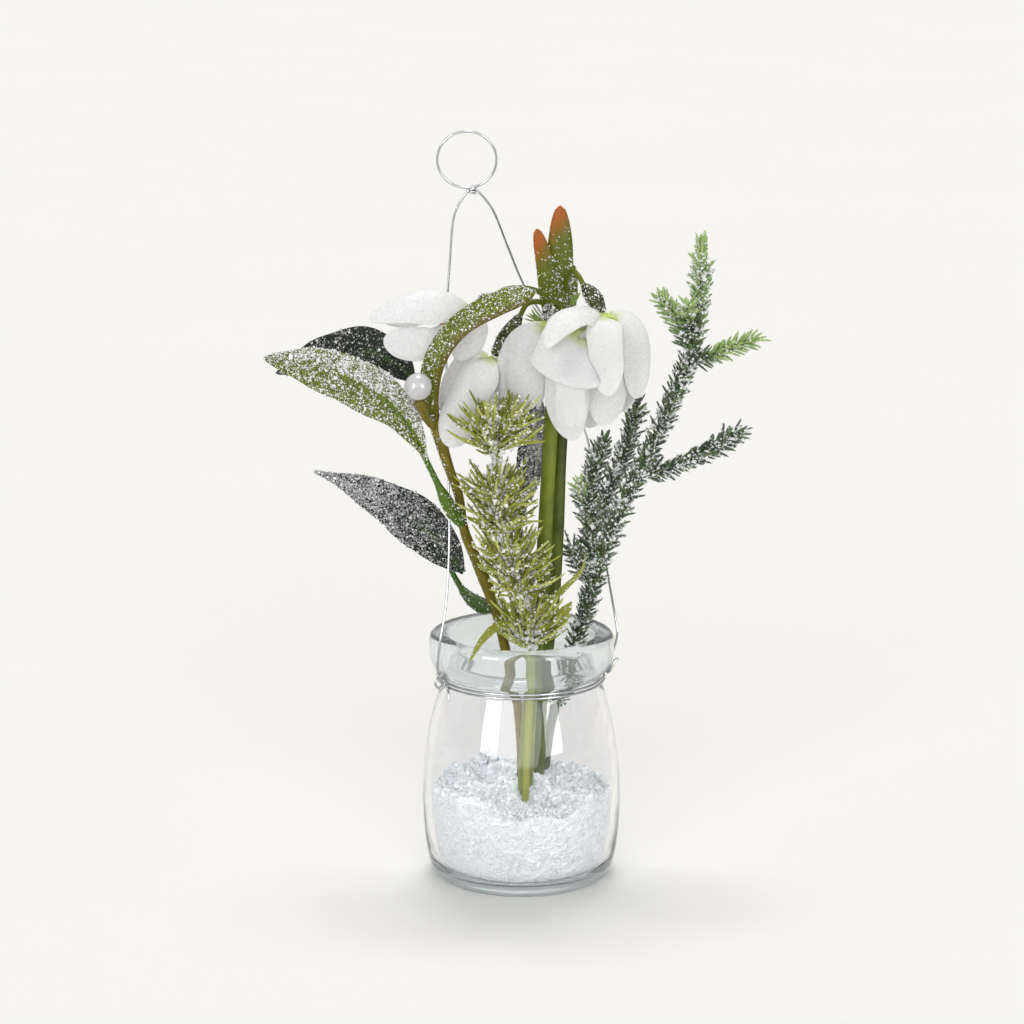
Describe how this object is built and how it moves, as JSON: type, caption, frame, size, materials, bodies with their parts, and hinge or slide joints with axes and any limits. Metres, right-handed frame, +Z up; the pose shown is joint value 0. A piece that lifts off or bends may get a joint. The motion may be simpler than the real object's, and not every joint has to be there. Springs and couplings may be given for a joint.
{
  "type": "snowdrop arrangement in a hanging glass jar",
  "caption": "Frosted artificial snowdrops with mistletoe, a soft needle sprig and a fir twig, standing in snow crystals in a small clear glass jar with a wire hanging loop.",
  "frame": {"origin": "centre of the jar's flat base", "axes": "+Z up, front of the arrangement faces -Y, +X to the viewer's right"},
  "size_m": [0.1682, 0.0706, 0.2609],
  "materials": {
    "clear_glass": "pressed clear glass, faint blue-green at the edges",
    "snow_crystals": "loose clear and white acrylic crystals",
    "zinc_wire": "bright zinc-coated craft wire",
    "green_stem": "moulded polyethylene stem, satin",
    "frosted_sheath": "moulded green sheath with orange-red tips and glued frost",
    "white_petals": "pressed white cloth with green bases and fine glitter",
    "yellow_stamens": "dyed yellow flock",
    "olive_stem": "paper-wrapped wire stem, olive brown",
    "frosted_leaves": "green leaf under a heavy white frost",
    "dark_leaves": "dark green leaf under grey glitter",
    "pearl": "white pearl lacquer",
    "soft_needles": "soft yellow-green needles with frost",
    "fir_needles": "dark green moulded needles with frost"
  },
  "bodies": {
    "root": {"glass_jar": "clear_glass", "snow_crystals": "snow_crystals", "binding_wire": "zinc_wire", "hanger_wire": "zinc_wire", "snowdrop_stem_front": "green_stem", "snowdrop_stem_back": "green_stem", "snowdrop_sheath": "frosted_sheath", "bloom_a_petals": "white_petals", "bloom_a_stamens": "yellow_stamens", "bloom_b_petals": "white_petals", "bloom_b_stamens": "yellow_stamens", "bloom_c_petals": "white_petals", "bloom_c_stamens": "yellow_stamens", "bloom_d_petals": "white_petals", "bloom_d_stamens": "yellow_stamens", "mistletoe_stem": "olive_stem", "mistletoe_curled_leaf": "frosted_leaves", "pearl_berry_front": "pearl", "pearl_berry_back": "pearl", "frosted_leaf_upper": "frosted_leaves", "frosted_leaf_dark": "dark_leaves", "frosted_leaf_lower": "dark_leaves", "frosted_leaf_back": "dark_leaves", "soft_needle_sprig": "soft_needles", "fir_twig": "fir_needles"}
  },
  "joints": []
}
